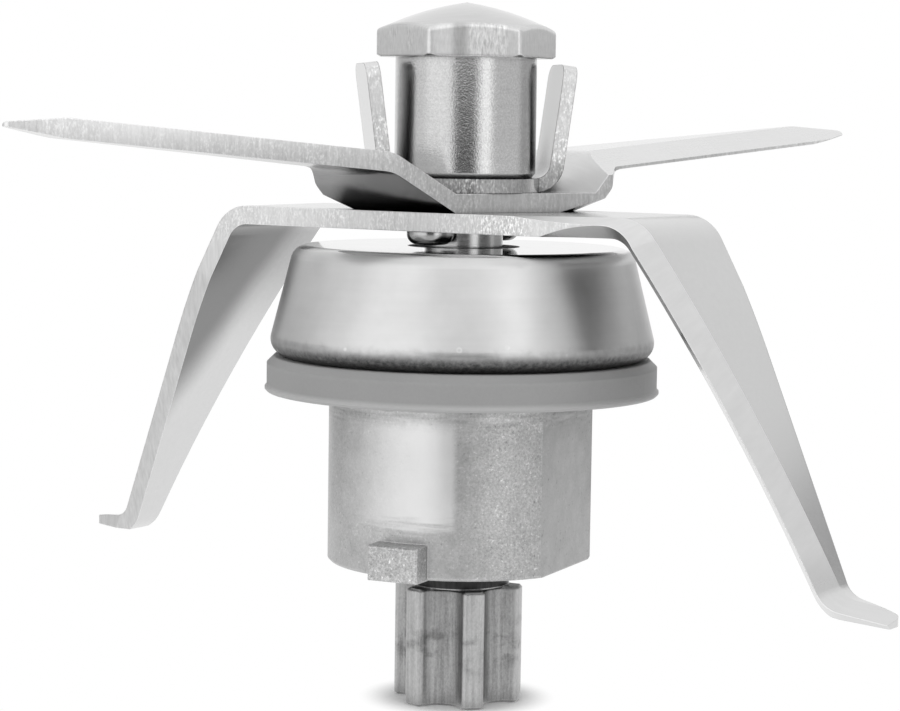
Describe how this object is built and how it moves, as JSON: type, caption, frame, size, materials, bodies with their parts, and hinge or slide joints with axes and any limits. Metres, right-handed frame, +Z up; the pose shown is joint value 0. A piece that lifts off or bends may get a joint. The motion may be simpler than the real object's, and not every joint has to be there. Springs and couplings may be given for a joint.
{
  "type": "blender blade assembly",
  "caption": "Blade assembly for a blender jug: pressed blades under a cap nut on a bearing shaft, with a spun dome, seal ring, bayonet housing and toothed driver.",
  "frame": {"origin": "on the shaft axis at the lower face of the driver", "axes": "+Z up the shaft towards the cap nut, +X square to the flats of the housing, +Y through a bayonet lug"},
  "size_m": [0.1208, 0.1066, 0.0894],
  "materials": {
    "blade_steel": "pressed stainless sheet, satin",
    "turned_steel": "turned stainless steel, bright",
    "driver_steel": "sintered steel, dull",
    "dome_steel": "spun stainless steel, polished",
    "cast_alloy": "machined casting, fine grain",
    "seal_silicone": "grey silicone, matte",
    "bearing_steel": "ground steel",
    "black_rubber": "black nitrile, matte"
  },
  "bodies": {
    "housing_body": {"dome": "dome_steel", "housing": "cast_alloy", "seal_ring": "seal_silicone", "upper_outer_race": "bearing_steel", "lower_outer_race": "bearing_steel", "upper_bearing_shields": "bearing_steel", "lower_bearing_shields": "bearing_steel", "bore_circlip": "bearing_steel", "preload_washer": "bearing_steel", "shaft_seal_case": "bearing_steel", "seal_garter_spring": "bearing_steel", "dome_o_ring": "black_rubber", "shaft_seal_lip": "black_rubber"},
    "rotor": {"cap_nut": "turned_steel", "tab_plate": "blade_steel", "upper_blade": "blade_steel", "lower_blade": "blade_steel", "blade_rivets": "turned_steel", "shaft": "turned_steel", "upper_inner_race": "bearing_steel", "lower_inner_race": "bearing_steel", "bearing_spacer": "bearing_steel", "shaft_circlip": "bearing_steel", "driver": "driver_steel"},
    "upper_ball_train": {"upper_balls": "bearing_steel", "upper_cage": "bearing_steel"},
    "lower_ball_train": {"lower_balls": "bearing_steel", "lower_cage": "bearing_steel"}
  },
  "joints": [
    {"name": "rotor_spin", "type": "hinge", "parent": "housing_body", "child": "rotor", "pos_m": [0, 0, 0.045], "axis": [0, 0, 1], "continuous": true},
    {"name": "upper_ball_train_spin", "type": "hinge", "parent": "housing_body", "child": "upper_ball_train", "pos_m": [0, 0, 0.0434], "axis": [0, 0, 1], "continuous": true},
    {"name": "lower_ball_train_spin", "type": "hinge", "parent": "housing_body", "child": "lower_ball_train", "pos_m": [0, 0, 0.0248], "axis": [0, 0, 1], "continuous": true}
  ],
  "couplings": [
    {"joint": "upper_ball_train_spin", "follows": "rotor_spin", "ratio": 0.3677},
    {"joint": "lower_ball_train_spin", "follows": "rotor_spin", "ratio": 0.3677}
  ]
}
